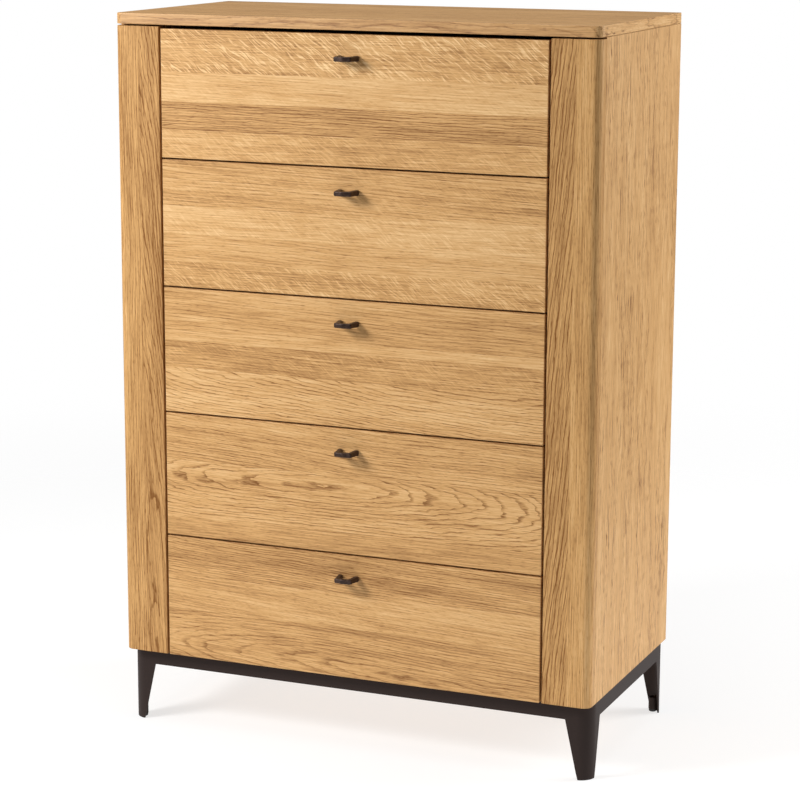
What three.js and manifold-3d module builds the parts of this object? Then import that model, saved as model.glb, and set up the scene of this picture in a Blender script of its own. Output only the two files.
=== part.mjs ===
// Tall chest of five drawers: an oak case on a welded steel base frame.
// Millimetres, +Z up. The drawers open towards -Y and +X is to the right seen from the front.
// The origin is on the floor, under the middle of the overall box, which takes in the handles.

import * as THREE from 'three';
import { mergeVertices } from 'three/addons/utils/BufferGeometryUtils.js';
import Module from 'manifold-3d';

const wasm = await Module();
wasm.setup();

// ---------------------------------------------------------------------------
// Driving dimensions
// ---------------------------------------------------------------------------

// Case
const CASE_WIDTH = 900;
const CASE_DEPTH = 450;
const OVERALL_HEIGHT = 1300;
const TOP_THICKNESS = 19;
const POST_WIDTH = 87;
const POST_SHOULDER = 6; // the posts are this much thicker than the drawer fronts
const POST_SHADOW_GAP = 3; // between the posts and the top board
const SIDE_THICKNESS = 19;
const INNER_SIDE_THICKNESS = 16; // carries the drawer rails, flush with the posts' inner edges
const FLOOR_THICKNESS = 18;
const BACK_THICKNESS = 6;
const CORNER_RADIUS = 16; // upright front corners of the case
const EDGE_EASE = 1.2; // small chamfer that takes the sharpness off exposed oak edges
const SEAM = 0.3; // between pieces that are glued, screwed or rest on each other

// Drawer fronts
const DRAWER_COUNT = 5;
const FRONT_THICKNESS = 20;
const FRONT_TOP_GAP = 6.5; // under the top board
const FRONT_GAP = 3; // between one front and the next
const FRONT_SIDE_GAP = 4; // between a front and a post

// Drawer boxes
const BOX_WALL = 12;
const BOX_FLOOR_CLEARANCE = 8; // lowest box above the case floor
const BOX_DROP = 39; // top of the box below the front's upper edge
const BOX_REAR_CLEARANCE = 24; // to the back panel
const BOX_FLOOR = 6;
const GROOVE_DEPTH = 6;
const GROOVE_LIFT = 12; // groove above the box's underside

// Ball-bearing runners: a rail on the case and a slide on the drawer, nested in each other
const RUNNER_SPACE = 12.7; // between the drawer box and the inner side
const RUNNER_SETBACK = 2; // runner behind the drawer front
const RUNNER_SHEET = 1.2;
const RAIL_HEIGHT = 45;
const RAIL_LIP_CLEARANCE = 2.9; // rail's lips short of the drawer box
const SLIDE_LIP_CLEARANCE = 3.9; // slide's lips short of the inner side
const BALL_SPACE = 4.3; // between the rail's and the slide's flanges

// Handles: a slim bar on two legs
const HANDLE_CENTRES = 32;
const HANDLE_LEG = 9;
const HANDLE_REACH = 31; // from the drawer front to the middle of the bar
const HANDLE_BAR = 8; // thickness of the bar, front to back
const HANDLE_BOW = 2; // middle of the bar further out than its ends
const HANDLE_TAPER = 3.5; // legs closer together at the bar than at their feet
const HANDLE_HEIGHT = 10;
const HANDLE_EASE = 2;
const HANDLE_DROP = 40.4; // handle's middle below the front's upper edge

// Base frame
const BASE_HEIGHT = 138;
const BASE_SIDE_INSET = 2.3;
const BASE_FRONT_INSET = 20;
const BASE_BACK_INSET = 1;
const BASE_CORNER_RADIUS = 27;
const BASE_SHEET = 3;
const APRON_HEIGHT = 30;
const BASE_FLANGE = 30; // turned in along the top, screwed to the case floor
const LEG_TOP_WIDTH = 48;
const LEG_FOOT_WIDTH = 24;
const FOOT_BUSH_RADIUS = 8;
const FOOT_BUSH_HEIGHT = 28;
const FOOT_BUSH_WELD = 1; // bush sunk this far into the inside of the leg's round corner

// Fineness of the round stretches
const CORNER_STEPS = 8;
const HANDLE_EASE_STEPS = 2;
const BUSH_STEPS = 20;

// ---------------------------------------------------------------------------
// Places worked out from the driving dimensions
// ---------------------------------------------------------------------------

const HALF_WIDTH = CASE_WIDTH / 2;
const FRONT_Y = (HANDLE_REACH - CASE_DEPTH) / 2;
const BACK_Y = FRONT_Y + CASE_DEPTH;
const CASE_BOTTOM = BASE_HEIGHT;
const TOP_UNDERSIDE = OVERALL_HEIGHT - TOP_THICKNESS;
const POST_BACK_Y = FRONT_Y + FRONT_THICKNESS + POST_SHOULDER;
const OPENING_HALF = HALF_WIDTH - POST_WIDTH;
const SIDE_INNER_FACE = HALF_WIDTH - SIDE_THICKNESS;
const BACK_PANEL_FRONT_Y = BACK_Y - BACK_THICKNESS;

const FRONTS_TOP = TOP_UNDERSIDE - FRONT_TOP_GAP;
const FRONT_HEIGHT = (FRONTS_TOP - CASE_BOTTOM - (DRAWER_COUNT - 1) * FRONT_GAP) / DRAWER_COUNT;
const FRONT_PITCH = FRONT_HEIGHT + FRONT_GAP;
const FRONT_HALF_WIDTH = OPENING_HALF - FRONT_SIDE_GAP;
const FRONT_BACK_Y = FRONT_Y + FRONT_THICKNESS;

const BOX_HALF_WIDTH = OPENING_HALF - RUNNER_SPACE;
const BOX_FRONT_Y = FRONT_BACK_Y + SEAM;
const BOX_END_Y = BACK_PANEL_FRONT_Y - BOX_REAR_CLEARANCE;
const BOX_LIFT = FLOOR_THICKNESS + BOX_FLOOR_CLEARANCE; // underside above the front's lower edge
const BOX_HEIGHT = FRONT_HEIGHT - BOX_LIFT - BOX_DROP;

const RUNNER_FRONT_Y = FRONT_BACK_Y + RUNNER_SETBACK;
const RAIL_DEPTH = RUNNER_SPACE - SEAM - RAIL_LIP_CLEARANCE;
const SLIDE_DEPTH = RUNNER_SPACE - SEAM - SLIDE_LIP_CLEARANCE;
const SLIDE_HEIGHT = RAIL_HEIGHT - 2 * (RUNNER_SHEET + BALL_SPACE);

// ---------------------------------------------------------------------------
// Finishes
// ---------------------------------------------------------------------------

const solidOak = new THREE.MeshStandardMaterial({ color: 0xd1a468, roughness: 0.55, metalness: 0 });
const oakVeneer = new THREE.MeshStandardMaterial({ color: 0xcf9f62, roughness: 0.55, metalness: 0 });
const drawerPly = new THREE.MeshStandardMaterial({ color: 0xdcc29a, roughness: 0.65, metalness: 0 });
const backBoard = new THREE.MeshStandardMaterial({ color: 0xc9a878, roughness: 0.75, metalness: 0 });
const zincSteel = new THREE.MeshStandardMaterial({ color: 0xb4b8bb, roughness: 0.35, metalness: 0.9 });
const coatedSteel = new THREE.MeshStandardMaterial({ color: 0x3a302e, roughness: 0.5, metalness: 0.3 });
const bronzedZinc = new THREE.MeshStandardMaterial({ color: 0x2d2421, roughness: 0.4, metalness: 0.6 });

// ---------------------------------------------------------------------------
// Shape helpers
// ---------------------------------------------------------------------------

function box([x0, x1], [y0, y1], [z0, z1]) {
  const geometry = new THREE.BoxGeometry(x1 - x0, y1 - y0, z1 - z0);
  return geometry.translate((x0 + x1) / 2, (y0 + y1) / 2, (z0 + z1) / 2);
}

function outlineOf(points) {
  return new THREE.Shape(points.map(([x, y]) => new THREE.Vector2(x, y)));
}

// A plan outline in X and Y, raised from z0 to z1, with its upper and lower edges eased.
function raised(shape, z0, z1, ease = 0, easeSteps = 1) {
  const geometry = new THREE.ExtrudeGeometry(shape, {
    depth: z1 - z0 - 2 * ease,
    bevelEnabled: ease > 0,
    bevelThickness: ease,
    bevelSize: ease,
    bevelOffset: -ease,
    bevelSegments: easeSteps,
    curveSegments: CORNER_STEPS,
  });
  return geometry.translate(0, 0, z0 + ease);
}

// An upright outline in X and Z, run back from y0 to y1, with its front and back edges eased.
function runBack(shape, y0, y1, ease = 0) {
  return raised(shape, -y1, -y0, ease).rotateX(Math.PI / 2);
}

// An upright outline in Y and Z, run across from x0 to x1.
function runAcross(shape, x0, x1) {
  return raised(shape, x0, x1).rotateZ(Math.PI / 2).rotateY(Math.PI / 2);
}

function solidFrom(geometry) {
  const bare = geometry.clone();
  bare.deleteAttribute('normal');
  bare.deleteAttribute('uv');
  const merged = mergeVertices(bare);
  return new wasm.Manifold(new wasm.Mesh({
    numProp: 3,
    vertProperties: new Float32Array(merged.attributes.position.array),
    triVerts: new Uint32Array(merged.index.array),
  }));
}

function geometryFrom(solid) {
  const mesh = solid.getMesh();
  const geometry = new THREE.BufferGeometry();
  geometry.setAttribute('position', new THREE.BufferAttribute(mesh.vertProperties, 3));
  geometry.setIndex(new THREE.BufferAttribute(mesh.triVerts, 1));
  geometry.computeVertexNormals();
  return geometry;
}

function cutFrom(body, tools) {
  return geometryFrom(tools.reduce((solid, tool) => solid.subtract(solidFrom(tool)), solidFrom(body)));
}

function joined([first, ...others]) {
  return geometryFrom(others.reduce((solid, body) => solid.add(solidFrom(body)), solidFrom(first)));
}

const chest = new THREE.Group();

function add(name, geometry, material) {
  const mesh = new THREE.Mesh(geometry, material);
  mesh.name = name;
  chest.add(mesh);
}

const SIDES = [['left', -1], ['right', 1]];

// Low to high along X, for a span measured outwards from the middle on one side.
function span(sign, near, far) {
  return sign > 0 ? [near, far] : [-far, -near];
}

// ---------------------------------------------------------------------------
// Case
// ---------------------------------------------------------------------------

// Quarter turn round the upright front corner on one side, walked from the front face to the side.
function frontCorner(shape, sign) {
  const centreX = sign * (HALF_WIDTH - CORNER_RADIUS);
  const end = sign > 0 ? 0 : -Math.PI;
  shape.absarc(centreX, FRONT_Y + CORNER_RADIUS, CORNER_RADIUS, -Math.PI / 2, end, sign < 0);
}

function topBoard() {
  const outline = new THREE.Shape();
  outline.moveTo(0, FRONT_Y);
  frontCorner(outline, 1);
  outline.lineTo(HALF_WIDTH, BACK_Y);
  outline.lineTo(-HALF_WIDTH, BACK_Y);
  outline.lineTo(-HALF_WIDTH, FRONT_Y + CORNER_RADIUS);
  outline.absarc(CORNER_RADIUS - HALF_WIDTH, FRONT_Y + CORNER_RADIUS, CORNER_RADIUS, Math.PI, 1.5 * Math.PI);
  return raised(outline, TOP_UNDERSIDE, OVERALL_HEIGHT, EDGE_EASE);
}

function frontPost(sign) {
  const inner = sign * OPENING_HALF;
  const outline = new THREE.Shape();
  outline.moveTo(inner, POST_BACK_Y);
  outline.lineTo(inner, FRONT_Y + EDGE_EASE);
  outline.lineTo(inner + sign * EDGE_EASE, FRONT_Y);
  frontCorner(outline, sign);
  outline.lineTo(sign * HALF_WIDTH, POST_BACK_Y);
  return raised(outline, CASE_BOTTOM, TOP_UNDERSIDE - POST_SHADOW_GAP);
}

function buildCase() {
  const behindPosts = [POST_BACK_Y + SEAM, BACK_Y];
  const inFrontOfBack = [POST_BACK_Y + SEAM, BACK_PANEL_FRONT_Y - SEAM];
  const underTop = TOP_UNDERSIDE - SEAM;
  const betweenSides = SIDE_INNER_FACE - SEAM;
  const floorTop = CASE_BOTTOM + FLOOR_THICKNESS;

  add('top_board', topBoard(), solidOak);
  add('case_floor', box([-betweenSides, betweenSides], inFrontOfBack, [CASE_BOTTOM, floorTop]), oakVeneer);
  add(
    'back_panel',
    box([-betweenSides, betweenSides], [BACK_PANEL_FRONT_Y, BACK_Y], [CASE_BOTTOM, underTop]),
    backBoard,
  );
  for (const [side, sign] of SIDES) {
    const outerSpan = span(sign, SIDE_INNER_FACE, HALF_WIDTH);
    const innerSpan = span(sign, OPENING_HALF, OPENING_HALF + INNER_SIDE_THICKNESS);
    add(`${side}_front_post`, frontPost(sign), solidOak);
    add(`${side}_side_panel`, box(outerSpan, behindPosts, [CASE_BOTTOM, underTop]), oakVeneer);
    add(`${side}_inner_side`, box(innerSpan, inFrontOfBack, [floorTop + SEAM, underTop]), oakVeneer);
  }
}

// ---------------------------------------------------------------------------
// Base frame: a folded sheet-steel ring with four tapered angle legs, welded into one piece
// ---------------------------------------------------------------------------

const BASE_HALF_WIDTH = HALF_WIDTH - BASE_SIDE_INSET;
const BASE_FRONT_Y = FRONT_Y + BASE_FRONT_INSET;
const BASE_BACK_Y = BACK_Y - BASE_BACK_INSET;

function roundedRectangle(path, x0, x1, y0, y1, radius) {
  const quarter = Math.PI / 2;
  path.moveTo(x0 + radius, y0);
  path.absarc(x1 - radius, y0 + radius, radius, -quarter, 0);
  path.absarc(x1 - radius, y1 - radius, radius, 0, quarter);
  path.absarc(x0 + radius, y1 - radius, radius, quarter, 2 * quarter);
  path.absarc(x0 + radius, y0 + radius, radius, 2 * quarter, 3 * quarter);
  return path;
}

// A band that follows the base outline, reaching the given width inwards from its outer face.
function baseBand(width, z0, z1) {
  const outline = roundedRectangle(
    new THREE.Shape(), -BASE_HALF_WIDTH, BASE_HALF_WIDTH, BASE_FRONT_Y, BASE_BACK_Y, BASE_CORNER_RADIUS,
  );
  const innerRadius = Math.max(BASE_CORNER_RADIUS - width, BASE_SHEET);
  outline.holes.push(roundedRectangle(
    new THREE.Path(), width - BASE_HALF_WIDTH, BASE_HALF_WIDTH - width,
    BASE_FRONT_Y + width, BASE_BACK_Y - width, innerRadius,
  ));
  return raised(outline, z0, z1);
}

// The opening between two legs under an apron, wider at the floor because the legs taper.
function legOpening(from, to) {
  const below = -BASE_SHEET;
  const apronBottom = BASE_HEIGHT - APRON_HEIGHT;
  const taper = (LEG_TOP_WIDTH - LEG_FOOT_WIDTH) / apronBottom;
  const foot = LEG_FOOT_WIDTH + taper * below;
  return outlineOf([
    [from + foot, below],
    [to - foot, below],
    [to - LEG_TOP_WIDTH, apronBottom],
    [from + LEG_TOP_WIDTH, apronBottom],
  ]);
}

function footBush(x, y) {
  const bush = new THREE.CylinderGeometry(FOOT_BUSH_RADIUS, FOOT_BUSH_RADIUS, FOOT_BUSH_HEIGHT, BUSH_STEPS);
  return bush.rotateX(Math.PI / 2).translate(x, y, FOOT_BUSH_HEIGHT / 2);
}

function buildBaseFrame() {
  const top = BASE_HEIGHT - SEAM;
  const clear = BASE_SHEET;
  const skirt = cutFrom(baseBand(BASE_SHEET, 0, top), [
    runBack(legOpening(-BASE_HALF_WIDTH, BASE_HALF_WIDTH), BASE_FRONT_Y - clear, BASE_BACK_Y + clear),
    runAcross(legOpening(BASE_FRONT_Y, BASE_BACK_Y), -BASE_HALF_WIDTH - clear, BASE_HALF_WIDTH + clear),
  ]);
  const flange = baseBand(BASE_FLANGE, top - BASE_SHEET, top);
  const fromCorner = BASE_CORNER_RADIUS - BASE_SHEET - FOOT_BUSH_RADIUS + FOOT_BUSH_WELD;
  const inset = BASE_CORNER_RADIUS - fromCorner * Math.SQRT1_2;
  const bushes = [inset - BASE_HALF_WIDTH, BASE_HALF_WIDTH - inset].flatMap((x) => [
    footBush(x, BASE_FRONT_Y + inset),
    footBush(x, BASE_BACK_Y - inset),
  ]);
  add('base_frame', joined([skirt, flange, ...bushes]), coatedSteel);
}

// ---------------------------------------------------------------------------
// Drawers and runners
// ---------------------------------------------------------------------------

// The groove for the drawer floor, in the two sides and the front.
function grooveHeights(boxBottom) {
  const bottom = boxBottom + GROOVE_LIFT;
  return [bottom, bottom + BOX_FLOOR + 2 * SEAM];
}

function drawerFront(bottom, boxBottom) {
  const top = bottom + FRONT_HEIGHT;
  const outline = outlineOf([
    [-FRONT_HALF_WIDTH, bottom],
    [FRONT_HALF_WIDTH, bottom],
    [FRONT_HALF_WIDTH, top],
    [-FRONT_HALF_WIDTH, top],
  ]);
  const grooveHalf = BOX_HALF_WIDTH - BOX_WALL + GROOVE_DEPTH;
  const groove = box(
    [-grooveHalf, grooveHalf],
    [FRONT_BACK_Y - GROOVE_DEPTH, FRONT_BACK_Y + SEAM],
    grooveHeights(boxBottom),
  );
  return cutFrom(runBack(outline, FRONT_Y, FRONT_BACK_Y, EDGE_EASE), [groove]);
}

function drawerSide(sign, boxBottom) {
  const outer = sign * BOX_HALF_WIDTH;
  const inner = sign * (BOX_HALF_WIDTH - BOX_WALL);
  const grooved = inner + sign * GROOVE_DEPTH;
  const top = boxBottom + BOX_HEIGHT;
  const [grooveBottom, grooveTop] = grooveHeights(boxBottom);
  const section = outlineOf([
    [outer, boxBottom],
    [outer, top],
    [inner, top],
    [inner, grooveTop],
    [grooved, grooveTop],
    [grooved, grooveBottom],
    [inner, grooveBottom],
    [inner, boxBottom],
  ]);
  return runBack(section, BOX_FRONT_Y, BOX_END_Y);
}

// A sheet-steel channel, open towards 'mouth', run back beside a drawer box.
function channel(back, mouth, centreZ, height) {
  const inside = back + Math.sign(mouth - back) * RUNNER_SHEET;
  const outerHalf = height / 2;
  const innerHalf = outerHalf - RUNNER_SHEET;
  const section = outlineOf([
    [back, centreZ - outerHalf],
    [mouth, centreZ - outerHalf],
    [mouth, centreZ - innerHalf],
    [inside, centreZ - innerHalf],
    [inside, centreZ + innerHalf],
    [mouth, centreZ + innerHalf],
    [mouth, centreZ + outerHalf],
    [back, centreZ + outerHalf],
  ]);
  return runBack(section, RUNNER_FRONT_Y, BOX_END_Y);
}

// Plan of the handle: two legs that lean towards each other and a bar that bows slightly forwards.
function handleOutline() {
  const outerFoot = (HANDLE_CENTRES + HANDLE_LEG) / 2;
  const innerFoot = outerFoot - HANDLE_LEG;
  const outerEnd = outerFoot - HANDLE_TAPER;
  const innerEnd = outerEnd - HANDLE_LEG;
  const endReach = HANDLE_REACH - HANDLE_BOW;
  const roundStart = endReach - HANDLE_BAR / 2;
  const roundEnd = outerEnd - HANDLE_BAR / 2;
  const bowControl = HANDLE_REACH + HANDLE_BOW;
  const outline = new THREE.Shape();
  outline.moveTo(outerFoot, -HANDLE_EASE);
  outline.lineTo(outerEnd, roundStart);
  outline.quadraticCurveTo(outerEnd, endReach, roundEnd, endReach);
  outline.quadraticCurveTo(0, bowControl, -roundEnd, endReach);
  outline.quadraticCurveTo(-outerEnd, endReach, -outerEnd, roundStart);
  outline.lineTo(-outerFoot, -HANDLE_EASE);
  outline.lineTo(-innerFoot, -HANDLE_EASE);
  outline.lineTo(-innerEnd, endReach - HANDLE_BAR);
  outline.quadraticCurveTo(0, bowControl - HANDLE_BAR, innerEnd, endReach - HANDLE_BAR);
  outline.lineTo(innerFoot, -HANDLE_EASE);
  return outline;
}

// The outline is raised with rounded arrises and trimmed square where the legs meet the front.
function handle(middleZ) {
  const half = HANDLE_HEIGHT / 2;
  const bow = raised(handleOutline(), -half, half, HANDLE_EASE, HANDLE_EASE_STEPS).rotateZ(Math.PI);
  const trim = box(
    [-HANDLE_CENTRES, HANDLE_CENTRES],
    [-SEAM, 2 * HANDLE_EASE],
    [-HANDLE_HEIGHT, HANDLE_HEIGHT],
  );
  return cutFrom(bow, [trim]).translate(0, FRONT_Y, middleZ);
}

function buildDrawer(number) {
  const name = `drawer_${number}`;
  const bottom = FRONTS_TOP - FRONT_HEIGHT - (number - 1) * FRONT_PITCH;
  const boxBottom = bottom + BOX_LIFT;
  const boxTop = boxBottom + BOX_HEIGHT;
  const runnerZ = (boxBottom + boxTop) / 2;
  const innerHalf = BOX_HALF_WIDTH - BOX_WALL;
  const floorHalf = innerHalf + GROOVE_DEPTH - SEAM;
  const [grooveBottom, grooveTop] = grooveHeights(boxBottom);

  add(`${name}_front`, drawerFront(bottom, boxBottom), solidOak);
  add(`${name}_handle`, handle(bottom + FRONT_HEIGHT - HANDLE_DROP), bronzedZinc);
  add(
    `${name}_back`,
    box([SEAM - innerHalf, innerHalf - SEAM], [BOX_END_Y - BOX_WALL, BOX_END_Y], [grooveTop, boxTop]),
    drawerPly,
  );
  add(
    `${name}_floor`,
    box(
      [-floorHalf, floorHalf],
      [FRONT_BACK_Y - GROOVE_DEPTH + SEAM, BOX_END_Y],
      [grooveBottom + SEAM, grooveTop - SEAM],
    ),
    drawerPly,
  );
  for (const [side, sign] of SIDES) {
    const railBack = sign * (OPENING_HALF - SEAM);
    const slideBack = sign * (BOX_HALF_WIDTH + SEAM);
    add(`${name}_${side}_side`, drawerSide(sign, boxBottom), drawerPly);
    add(
      `${name}_${side}_slide`,
      channel(slideBack, slideBack + sign * SLIDE_DEPTH, runnerZ, SLIDE_HEIGHT),
      zincSteel,
    );
    add(
      `${side}_rail_${number}`,
      channel(railBack, railBack - sign * RAIL_DEPTH, runnerZ, RAIL_HEIGHT),
      zincSteel,
    );
  }
}

buildCase();
buildBaseFrame();
for (let number = 1; number <= DRAWER_COUNT; number += 1) {
  buildDrawer(number);
}

export default chest;
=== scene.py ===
"""Looks of the tall oak chest of five drawers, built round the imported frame.

Metres, +Z up. The drawers open towards -Y, and +X is to the right seen from the front.
"""

import math
from collections import namedtuple

import bmesh
import bpy
from mathutils import Matrix, Vector


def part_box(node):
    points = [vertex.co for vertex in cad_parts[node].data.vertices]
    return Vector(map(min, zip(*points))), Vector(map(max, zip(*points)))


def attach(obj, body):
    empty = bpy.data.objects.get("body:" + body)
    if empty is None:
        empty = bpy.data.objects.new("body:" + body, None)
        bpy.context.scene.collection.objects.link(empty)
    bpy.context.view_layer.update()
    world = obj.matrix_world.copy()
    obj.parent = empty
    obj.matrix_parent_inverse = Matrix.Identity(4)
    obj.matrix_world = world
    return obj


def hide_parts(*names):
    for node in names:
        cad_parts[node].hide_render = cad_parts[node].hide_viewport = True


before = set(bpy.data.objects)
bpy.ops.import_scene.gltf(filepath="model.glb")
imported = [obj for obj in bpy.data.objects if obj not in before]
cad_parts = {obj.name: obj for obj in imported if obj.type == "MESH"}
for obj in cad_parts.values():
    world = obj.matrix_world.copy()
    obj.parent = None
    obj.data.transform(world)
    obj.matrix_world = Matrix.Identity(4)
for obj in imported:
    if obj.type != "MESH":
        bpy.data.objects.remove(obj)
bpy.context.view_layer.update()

MM = 0.001
DRAWERS = range(1, 6)
SIDES = {"left": -1, "right": 1}
UP = Vector((0, 0, 1))
X, Y, Z = 0, 1, 2

# Boards
CORNER_RADIUS = 16 * MM
CORNER_SEGMENTS = 14
ARRIS = 1.2 * MM
VENEER_ARRIS = 0.4 * MM
PLY_ARRIS = 0.8 * MM
FLOOR_ARRIS = 0.4 * MM
GROOVE_DEPTH = 6 * MM
GROOVE_SLACK = 0.3 * MM  # on each side of the drawer floor that it holds

# Steel base
BASE_CORNER = 27 * MM
BASE_CORNER_SEGMENTS = 12
BASE_FLANGE = 26.5 * MM
BASE_SHEET = 3 * MM
BASE_ARRIS = 0.6 * MM
APRON_HEIGHT = 30 * MM
LEG_TOP_WIDTH = 48 * MM
LEG_FOOT_WIDTH = 24 * MM
BUSH_RADIUS = 8 * MM
BUSH_HEIGHT = 28 * MM
BUSH_ROUNDING = 1.2 * MM
BUSH_RECESS = 3 * MM
GLIDE_HEIGHT = 5 * MM
GLIDE_RADIUS = 7.4 * MM
GLIDE_ROUNDING = 2 * MM

# Pulls
PULL_LEG = 9 * MM
PULL_BAR = 8 * MM
PULL_BOW = 2 * MM
PULL_TAPER = 3.5 * MM
PULL_THINNING = 0.85  # the bar's height, as a share of the legs' height at their feet
PULL_STEPS = 8
PULL_CORNER = 4.2 * MM
PULL_ARRIS = 2.4 * MM

# Fixings
BOLT_HEAD = 4 * MM
BOLT_HEAD_HEIGHT = 2.4 * MM
SCREW_HEAD = 3.2 * MM
SCREW_HEAD_HEIGHT = 1.4 * MM
BACK_SCREW_SINK = 1.8 * MM
BACK_SCREWS_UP = 8
BACK_SCREWS_ACROSS = 5
BACK_SCREW_ABOVE_FOOT = 60 * MM  # from the panel's lower edge to the lowest screws
BACK_SCREW_BELOW_HEAD = 40 * MM  # from the panel's upper edge to the highest screws
BACK_SCREW_FROM_SIDE = 120 * MM  # from the case floor's ends to its first screws
FRAME_SCREW_SPACING = 280 * MM

# Runners
RUNNER_SHEET = 1.2 * MM
RUNNER_ARRIS = 0.35 * MM
RUNNER_SCREW_INSET = 36 * MM
CAGE_SHEET = 0.7 * MM
CAGE_START = 8 * MM
CAGE_LENGTH = 80 * MM
CAGE_GAP = 0.5 * MM  # from the rail's web to the cage
BALL_RADIUS = 1.95 * MM
BALLS_IN_ROW = 8


# ---------------------------------------------------------------------------
# Shaping, as by hand
# ---------------------------------------------------------------------------


def clear_selection():
    if bpy.context.mode != "OBJECT":
        bpy.ops.object.mode_set(mode="OBJECT")
    bpy.ops.object.select_all(action="DESELECT")


def pick(piece):
    """The piece alone is selected and active."""
    clear_selection()
    piece.select_set(True)
    bpy.context.view_layer.objects.active = piece


def settle(piece):
    """The place, turn and size go into the mesh."""
    pick(piece)
    bpy.ops.object.transform_apply(location=True, rotation=True, scale=True)


def block(name, low, high):
    low, high = Vector(low), Vector(high)
    clear_selection()
    bpy.ops.mesh.primitive_cube_add(size=1, location=(low + high) / 2)
    piece = bpy.context.object
    piece.name = name
    piece.scale = high - low
    settle(piece)
    return piece


def rod(name, centre, radius, length, axis=Z, sides=24):
    """A round bar that runs along one axis, with its middle at the centre."""
    clear_selection()
    turn = {X: (0, math.pi / 2, 0), Y: (math.pi / 2, 0, 0), Z: (0, 0, 0)}[axis]
    bpy.ops.mesh.primitive_cylinder_add(
        vertices=sides, radius=radius, depth=length, location=centre, rotation=turn
    )
    piece = bpy.context.object
    piece.name = name
    settle(piece)
    return piece


def open_mesh(piece, kind):
    pick(piece)
    bpy.ops.object.mode_set(mode="EDIT")
    bpy.ops.mesh.select_mode(type=kind)
    bpy.ops.mesh.select_all(action="DESELECT")
    return bmesh.from_edit_mesh(piece.data)


def choose_edges(piece, wanted):
    """Edit mode, with the edges selected for which wanted(one end, other end) is true."""
    mesh = open_mesh(piece, "EDGE")
    for edge in mesh.edges:
        if wanted(edge.verts[0].co, edge.verts[1].co):
            edge.select_set(True)
    bmesh.update_edit_mesh(piece.data)


def choose_faces(piece, wanted):
    """Edit mode, with the faces selected for which wanted(middle, normal) is true."""
    mesh = open_mesh(piece, "FACE")
    for face in mesh.faces:
        if wanted(face.calc_center_median(), face.normal):
            face.select_set(True)
    bmesh.update_edit_mesh(piece.data)


def slice_mesh(piece, point, normal):
    open_mesh(piece, "FACE")
    bpy.ops.mesh.select_all(action="SELECT")
    bpy.ops.mesh.bisect(plane_co=point, plane_no=normal)
    bpy.ops.object.mode_set(mode="OBJECT")


def is_near(a, b, slack=0.02 * MM):
    return abs(a - b) < slack


def upright(a, b):
    return is_near(a.x, b.x) and is_near(a.y, b.y)


def round_edges(piece, wanted, radius, segments):
    choose_edges(piece, wanted)
    bpy.ops.mesh.bevel(offset=radius, segments=segments, profile=0.5, affect="EDGES")
    bpy.ops.object.mode_set(mode="OBJECT")


def apply_modifier(piece, modifier):
    pick(piece)
    bpy.ops.object.modifier_apply(modifier=modifier.name)


def ease(piece, width, segments=3, angle=40):
    """Rounds every remaining arris and keeps the wide faces flat."""
    pick(piece)
    bpy.ops.object.shade_smooth()
    bevel = piece.modifiers.new("arrises", "BEVEL")
    bevel.width = width
    bevel.segments = segments
    bevel.limit_method = "ANGLE"
    bevel.angle_limit = math.radians(angle)
    bevel.harden_normals = True
    apply_modifier(piece, bevel)


def smooth_by_angle(piece, angle=35):
    pick(piece)
    bpy.ops.object.shade_smooth_by_angle(angle=math.radians(angle))


def twin(piece, name, offset):
    """A copy with a mesh of its own, moved by the offset."""
    pick(piece)
    bpy.ops.object.duplicate(linked=False)
    copy = bpy.context.object
    copy.name = name
    bpy.ops.transform.translate(value=offset)
    settle(copy)
    return copy


def join_pieces(name, parts):
    clear_selection()
    for part in parts:
        part.select_set(True)
    bpy.context.view_layer.objects.active = parts[0]
    bpy.ops.object.join()
    parts[0].name = name
    return parts[0]


def fine_copy(node, name, width, segments=2):
    """A copy of a CAD piece with its triangles joined up and its arrises rounded."""
    piece = bpy.data.objects.new(name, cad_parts[node].data.copy())
    bpy.context.scene.collection.objects.link(piece)
    pick(piece)
    bpy.ops.mesh.customdata_custom_splitnormals_clear()
    bpy.ops.object.mode_set(mode="EDIT")
    bpy.ops.mesh.select_all(action="SELECT")
    bpy.ops.mesh.remove_doubles(threshold=0.01 * MM)
    bpy.ops.mesh.dissolve_limited(angle_limit=math.radians(0.5))
    bpy.ops.object.mode_set(mode="OBJECT")
    ease(piece, width, segments)
    return piece


def fit_out(piece, material, body, slot=None, *nodes):
    """Gives a finished piece its material and its body, and hides the CAD nodes that it stands for."""
    piece.data.materials.clear()
    piece.data.materials.append(material)
    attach(piece, body)
    if nodes:
        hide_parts(*nodes)


# ---------------------------------------------------------------------------
# Material recipes
# ---------------------------------------------------------------------------


def paint(red, green, blue):
    """A colour given in the usual 0 to 255 numbers, as light."""
    shares = [value / 255 for value in (red, green, blue)]
    return tuple(((share + 0.055) / 1.055) ** 2.4 for share in shares) + (1,)


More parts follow.
